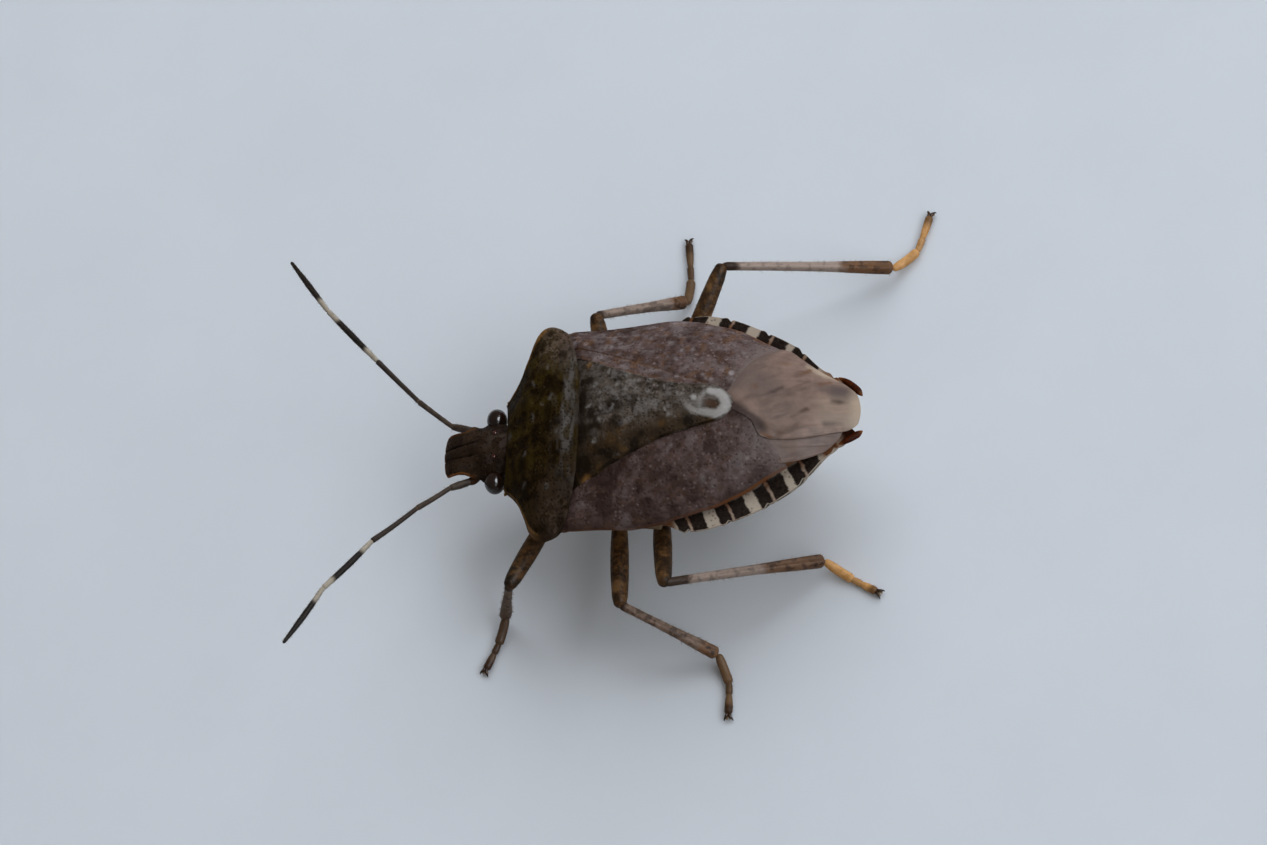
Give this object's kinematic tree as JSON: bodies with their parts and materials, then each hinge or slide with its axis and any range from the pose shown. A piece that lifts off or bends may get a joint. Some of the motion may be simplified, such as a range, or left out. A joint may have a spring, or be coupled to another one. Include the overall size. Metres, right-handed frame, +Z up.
{
  "type": "shield bug model",
  "caption": "Life-size still model of an adult brown marmorated shield bug standing on its feet, feelers held forward, wings folded over the body.",
  "frame": {"origin": "on the floor, under the middle of the model's outline box, feelers and feet included", "axes": "+Z up from the floor the feet stand on, +Y from the head towards the tail, +X to the bug's own left"},
  "size_m": [0.0184, 0.0224, 0.0066],
  "materials": {
    "dark_shield": "satin, coarsely pitted",
    "scutellum": "satin, coarsely pitted",
    "forewing_leather": "satin, finely pitted",
    "forewing_membrane": "thin, slightly glossy",
    "abdomen": "satin",
    "underside": "satin",
    "beak": "satin",
    "eye": "glossy",
    "antenna": "satin",
    "femur": "satin",
    "tibia": "satin",
    "foot": "satin"
  },
  "bodies": {
    "root": {"head": "dark_shield", "eye_left": "eye", "eye_right": "eye", "rostrum": "beak", "pronotum": "dark_shield", "scutellum": "scutellum", "corium_left": "forewing_leather", "corium_right": "forewing_leather", "membrane_left": "forewing_membrane", "membrane_right": "forewing_membrane", "thorax": "underside", "abdomen": "abdomen", "antenna_left_1": "antenna", "antenna_left_2": "antenna", "antenna_left_3": "antenna", "antenna_left_4": "antenna", "antenna_left_5": "antenna", "antenna_right_1": "antenna", "antenna_right_2": "antenna", "antenna_right_3": "antenna", "antenna_right_4": "antenna", "antenna_right_5": "antenna", "femur_front_left": "femur", "tibia_front_left": "tibia", "tarsus_front_left": "foot", "femur_middle_left": "femur", "tibia_middle_left": "tibia", "tarsus_middle_left": "foot", "femur_hind_left": "femur", "tibia_hind_left": "tibia", "tarsus_hind_left": "foot", "femur_front_right": "femur", "tibia_front_right": "tibia", "tarsus_front_right": "foot", "femur_middle_right": "femur", "tibia_middle_right": "tibia", "tarsus_middle_right": "foot", "femur_hind_right": "femur", "tibia_hind_right": "tibia", "tarsus_hind_right": "foot"}
  },
  "joints": []
}
